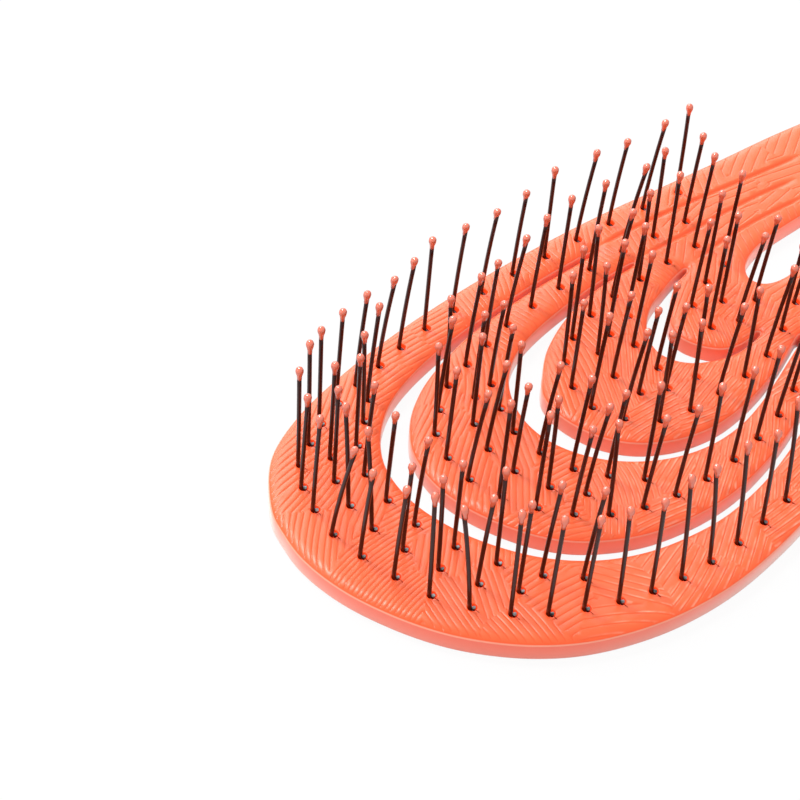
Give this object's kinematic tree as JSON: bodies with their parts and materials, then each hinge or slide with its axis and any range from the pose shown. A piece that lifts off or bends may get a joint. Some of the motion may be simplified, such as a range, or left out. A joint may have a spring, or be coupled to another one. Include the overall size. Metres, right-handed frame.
{
  "type": "vent brush",
  "caption": "Flat hair brush: a moulded plate of nested bands with air slots between them, a long handle, and rows of upright ball-tipped pins on one face.",
  "frame": {"origin": "on the flat back, under the bend of the second band, near the middle of the head", "axes": "+X along the brush from the head to the handle, +Y across it to the side where the head runs straight into the handle, +Z out of the face that carries the pins"},
  "size_m": [0.2353, 0.078, 0.0251],
  "materials": {
    "coral_plastic": "satin coral-orange moulded plastic with a fine ribbed relief",
    "pin_nylon": "glossy brown-black nylon filament with coral drop tips"
  },
  "bodies": {
    "root": {"brush_frame": "coral_plastic", "outer_rim_far_pins_1": "pin_nylon", "outer_rim_far_pins_2": "pin_nylon", "outer_rim_far_pins_3": "pin_nylon", "outer_rim_tip_pins_1": "pin_nylon", "outer_rim_tip_pins_2": "pin_nylon", "outer_rim_tip_pins_3": "pin_nylon", "outer_rim_near_pins_1": "pin_nylon", "outer_rim_near_pins_2": "pin_nylon", "outer_rim_near_pins_3": "pin_nylon", "outer_rim_near_pins_4": "pin_nylon", "outer_rim_near_pins_5": "pin_nylon", "outer_rim_near_pins_6": "pin_nylon", "outer_rim_near_pins_7": "pin_nylon", "outer_middle_pins_1": "pin_nylon", "outer_middle_pins_2": "pin_nylon", "outer_middle_pins_3": "pin_nylon", "outer_inner_pins_1": "pin_nylon", "outer_inner_pins_2": "pin_nylon", "outer_inner_pins_3": "pin_nylon", "second_rim_far_pins_1": "pin_nylon", "second_rim_far_pins_2": "pin_nylon", "second_rim_far_pins_3": "pin_nylon", "second_rim_near_pins_1": "pin_nylon", "second_rim_near_pins_2": "pin_nylon", "second_rim_near_pins_3": "pin_nylon", "second_rim_near_pins_4": "pin_nylon", "second_rim_near_pins_5": "pin_nylon", "second_rim_near_pins_6": "pin_nylon", "second_middle_pins_1": "pin_nylon", "second_middle_pins_2": "pin_nylon", "second_inner_pins_1": "pin_nylon", "second_inner_pins_2": "pin_nylon", "third_rim_pins_1": "pin_nylon", "third_rim_pins_2": "pin_nylon", "third_rim_pins_3": "pin_nylon", "third_rim_pins_4": "pin_nylon", "third_rim_pins_5": "pin_nylon", "third_rim_pins_6": "pin_nylon", "third_middle_pins_1": "pin_nylon", "third_middle_pins_2": "pin_nylon", "third_inner_pins_1": "pin_nylon", "tongue_far_pins_1": "pin_nylon", "tongue_middle_pins_1": "pin_nylon", "tongue_near_pins_1": "pin_nylon"}
  },
  "joints": []
}
